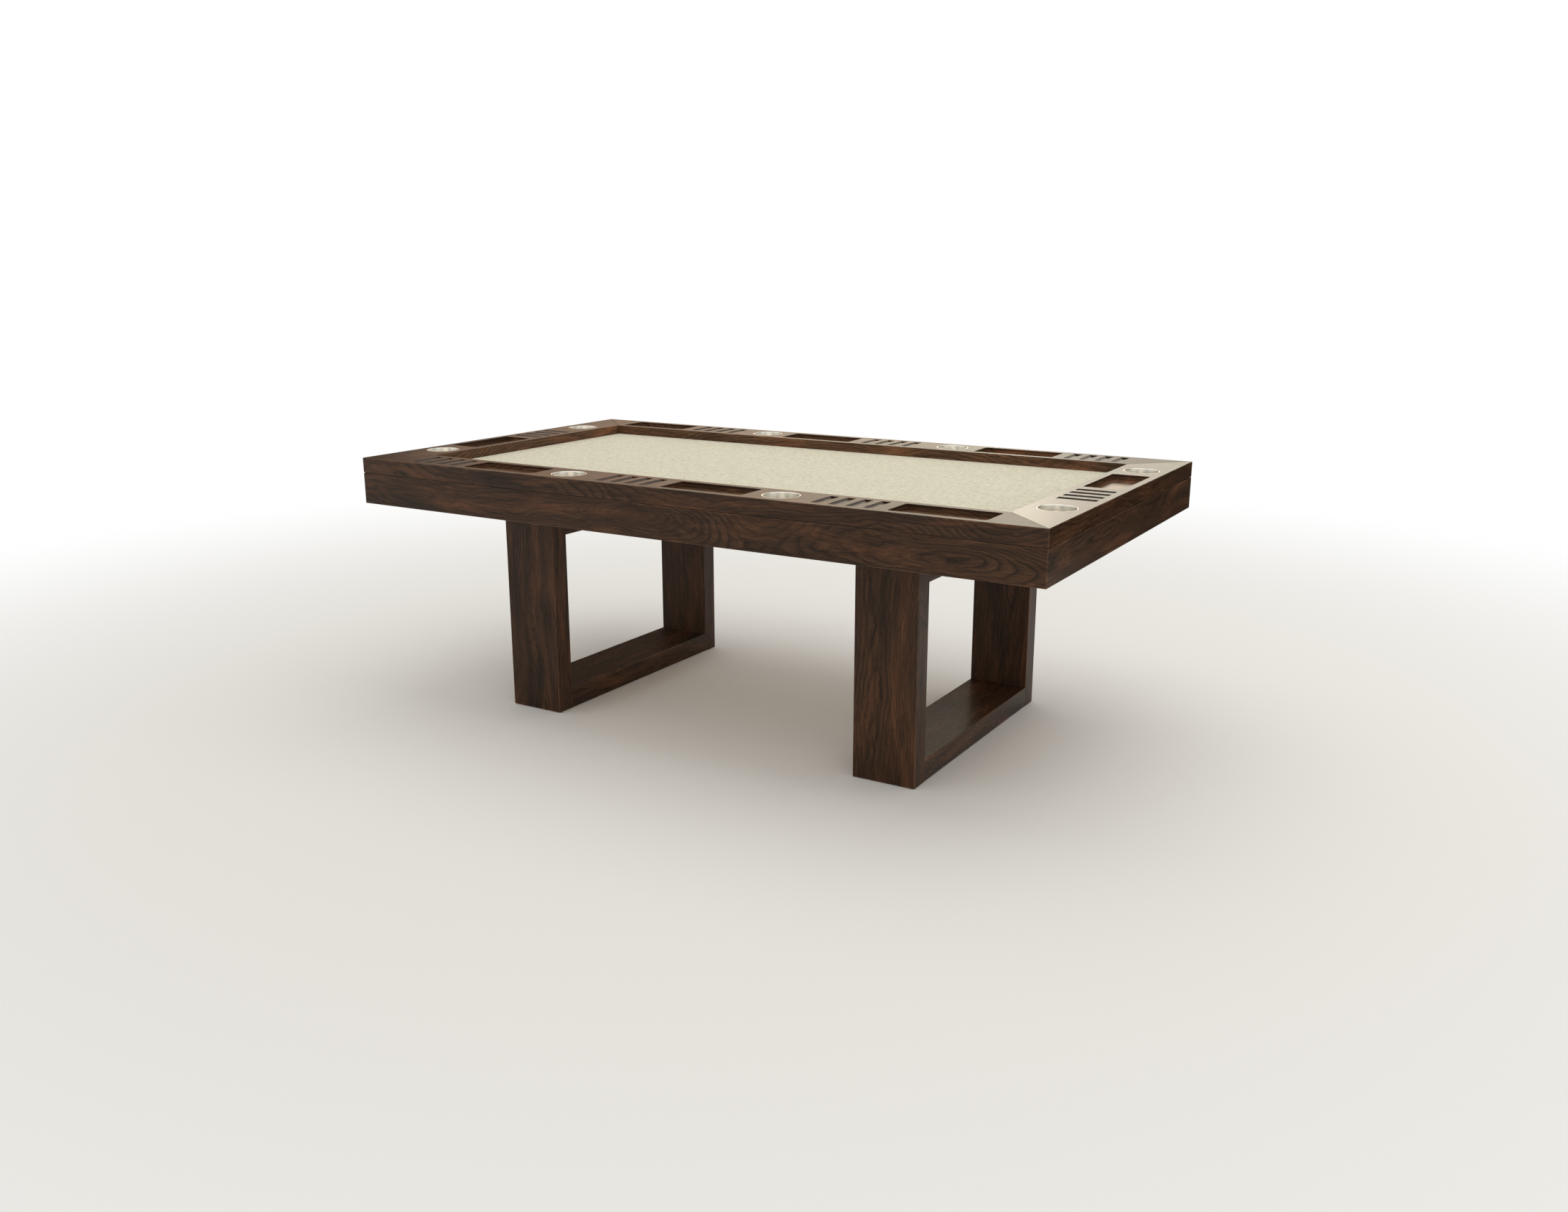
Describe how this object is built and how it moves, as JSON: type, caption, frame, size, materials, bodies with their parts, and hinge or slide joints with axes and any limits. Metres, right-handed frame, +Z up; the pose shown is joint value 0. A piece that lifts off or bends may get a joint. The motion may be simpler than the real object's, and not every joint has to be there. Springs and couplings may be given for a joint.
{
  "type": "gaming table",
  "caption": "Gaming table with a sunk cloth playing surface, a mitred rail with chip grooves, trays and drop-in cup liners, and two closed-loop trestles.",
  "frame": {"origin": "on the floor, under the middle of the top", "axes": "+X along the long edge, to the right of a player at the front; +Y from the front edge to the back; +Z up"},
  "size_m": [2.165, 1.205, 0.762],
  "materials": {
    "walnut": "dark oiled walnut, satin lacquer, grain along each piece",
    "cloth": "beige-olive napped gaming cloth, finely mottled",
    "liner_steel": "stainless steel, satin inside, polished rim",
    "plywood": "bare birch plywood",
    "beech": "bare planed beech",
    "foam": "closed-cell foam sheet",
    "zinc_steel": "zinc-plated steel",
    "nylon": "black moulded nylon"
  },
  "bodies": {
    "table": {"top_rail_front": "walnut", "top_rail_right": "walnut", "top_rail_back": "walnut", "top_rail_left": "walnut", "mitre_tenons": "beech", "apron_front": "walnut", "apron_right": "walnut", "apron_back": "walnut", "apron_left": "walnut", "corner_blocks": "beech", "corner_screws": "zinc_steel", "rail_cleats": "beech", "cleat_screws": "zinc_steel", "deck": "plywood", "deck_screws": "zinc_steel", "cross_beam_left": "beech", "cross_beam_right": "beech", "stringer_front": "beech", "stringer_back": "beech", "end_stringers": "beech", "beam_brackets": "zinc_steel", "bracket_screws": "zinc_steel", "left_front_post": "walnut", "left_back_post": "walnut", "left_foot_rail": "walnut", "left_head_rail": "walnut", "right_front_post": "walnut", "right_back_post": "walnut", "right_foot_rail": "walnut", "right_head_rail": "walnut", "trestle_tenons": "beech", "trestle_bolts": "zinc_steel", "bolt_washers": "zinc_steel", "threaded_inserts": "zinc_steel", "floor_glides": "nylon", "glide_screws": "zinc_steel"},
    "playing_panel": {"playing_board": "plywood", "foam_pad": "foam", "playing_cloth": "cloth"},
    "cup_front_left": {"cup_liner_front_left": "liner_steel"},
    "cup_front_right": {"cup_liner_front_right": "liner_steel"},
    "cup_right_front": {"cup_liner_right_front": "liner_steel"},
    "cup_right_back": {"cup_liner_right_back": "liner_steel"},
    "cup_back_right": {"cup_liner_back_right": "liner_steel"},
    "cup_back_left": {"cup_liner_back_left": "liner_steel"},
    "cup_left_back": {"cup_liner_left_back": "liner_steel"},
    "cup_left_front": {"cup_liner_left_front": "liner_steel"}
  },
  "joints": [
    {"name": "playing_panel_lift", "type": "slide", "parent": "table", "child": "playing_panel", "axis": [0, 0, 1], "range_m": [0, 0.06]},
    {"name": "cup_front_left_lift", "type": "slide", "parent": "table", "child": "cup_front_left", "axis": [0, 0, 1], "range_m": [0, 0.08]},
    {"name": "cup_front_right_lift", "type": "slide", "parent": "table", "child": "cup_front_right", "axis": [0, 0, 1], "range_m": [0, 0.08]},
    {"name": "cup_right_front_lift", "type": "slide", "parent": "table", "child": "cup_right_front", "axis": [0, 0, 1], "range_m": [0, 0.08]},
    {"name": "cup_right_back_lift", "type": "slide", "parent": "table", "child": "cup_right_back", "axis": [0, 0, 1], "range_m": [0, 0.08]},
    {"name": "cup_back_right_lift", "type": "slide", "parent": "table", "child": "cup_back_right", "axis": [0, 0, 1], "range_m": [0, 0.08]},
    {"name": "cup_back_left_lift", "type": "slide", "parent": "table", "child": "cup_back_left", "axis": [0, 0, 1], "range_m": [0, 0.08]},
    {"name": "cup_left_back_lift", "type": "slide", "parent": "table", "child": "cup_left_back", "axis": [0, 0, 1], "range_m": [0, 0.08]},
    {"name": "cup_left_front_lift", "type": "slide", "parent": "table", "child": "cup_left_front", "axis": [0, 0, 1], "range_m": [0, 0.08]}
  ]
}
